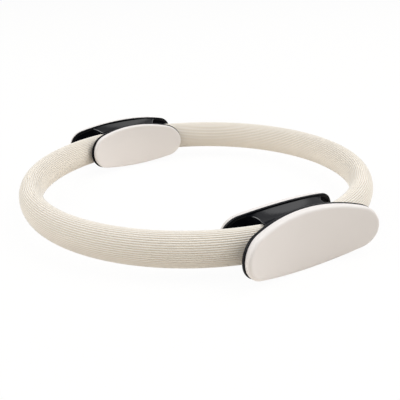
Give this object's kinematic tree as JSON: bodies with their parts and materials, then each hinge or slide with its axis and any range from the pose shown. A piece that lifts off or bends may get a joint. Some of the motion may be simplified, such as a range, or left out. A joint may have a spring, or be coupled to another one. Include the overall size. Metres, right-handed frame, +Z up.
{
  "type": "pilates ring",
  "caption": "Springy exercise ring with a ribbed oval tube and padded grips facing each other, squeezed together or pulled apart for resistance.",
  "frame": {"origin": "on the floor below the ring's centre, with the ring lying flat on its outer pads", "axes": "+Z up along the ring's axis, -Y to the front grip, +Y to the rear grip, +X to the right side"},
  "size_m": [0.3526, 0.3786, 0.0523],
  "materials": {
    "sleeve": "matte, ribbed lengthwise",
    "pad": "soft matte",
    "shell": "gloss black",
    "leaf": "glass fibre strip",
    "steel": "plain",
    "insert": "plain"
  },
  "bodies": {
    "front_handle": {"front_outer_shell": "shell", "front_inner_shell": "shell", "front_outer_pad": "pad", "front_inner_pad": "pad", "front_lower_left_screw": "steel", "front_lower_left_insert": "insert", "front_lower_right_screw": "steel", "front_lower_right_insert": "insert", "front_upper_left_screw": "steel", "front_upper_left_insert": "insert", "front_upper_right_screw": "steel", "front_upper_right_insert": "insert", "front_left_pin": "steel", "front_right_pin": "steel"},
    "rear_handle": {"rear_outer_shell": "shell", "rear_inner_shell": "shell", "rear_outer_pad": "pad", "rear_inner_pad": "pad", "rear_lower_left_screw": "steel", "rear_lower_left_insert": "insert", "rear_lower_right_screw": "steel", "rear_lower_right_insert": "insert", "rear_upper_left_screw": "steel", "rear_upper_left_insert": "insert", "rear_upper_right_screw": "steel", "rear_upper_right_insert": "insert", "rear_left_pin": "steel", "rear_right_pin": "steel"},
    "left_front": {"left_front_sleeve": "sleeve", "left_outer_leaf": "leaf", "left_inner_leaf": "leaf"},
    "left_rear": {"left_rear_sleeve": "sleeve"},
    "right_front": {"right_front_sleeve": "sleeve", "right_outer_leaf": "leaf", "right_inner_leaf": "leaf"},
    "right_rear": {"right_rear_sleeve": "sleeve"}
  },
  "joints": [
    {"name": "squeeze", "type": "hinge", "parent": "front_handle", "child": "left_front", "pos_m": [-0.03431, -0.16139, 0.0259], "axis": [0, 0, 1], "range_deg": [-5, 12], "stiffness_Nm_per_rad": 6.5, "deforming": ["left_outer_leaf", "left_inner_leaf"]},
    {"name": "left_side_bend", "type": "hinge", "parent": "left_front", "child": "left_rear", "pos_m": [-0.165, 0, 0.0259], "axis": [0, 0, 1], "range_deg": [-24, 10], "stiffness_Nm_per_rad": 6.5},
    {"name": "left_rear_bend", "type": "hinge", "parent": "left_rear", "child": "rear_handle", "pos_m": [-0.03431, 0.16139, 0.0259], "axis": [0, 0, 1], "range_deg": [-5, 12], "stiffness_Nm_per_rad": 6.5},
    {"name": "right_front_bend", "type": "hinge", "parent": "front_handle", "child": "right_front", "pos_m": [0.03431, -0.16139, 0.0259], "axis": [0, 0, 1], "range_deg": [-12, 5], "stiffness_Nm_per_rad": 6.5, "deforming": ["right_outer_leaf", "right_inner_leaf"]},
    {"name": "right_side_bend", "type": "hinge", "parent": "right_front", "child": "right_rear", "pos_m": [0.165, 0, 0.0259], "axis": [0, 0, 1], "range_deg": [-10, 24], "stiffness_Nm_per_rad": 6.5}
  ],
  "couplings": [
    {"joint": "left_side_bend", "follows": "squeeze", "ratio": -2},
    {"joint": "left_rear_bend", "follows": "squeeze", "ratio": 1},
    {"joint": "right_front_bend", "follows": "squeeze", "ratio": -1},
    {"joint": "right_side_bend", "follows": "squeeze", "ratio": 2}
  ]
}
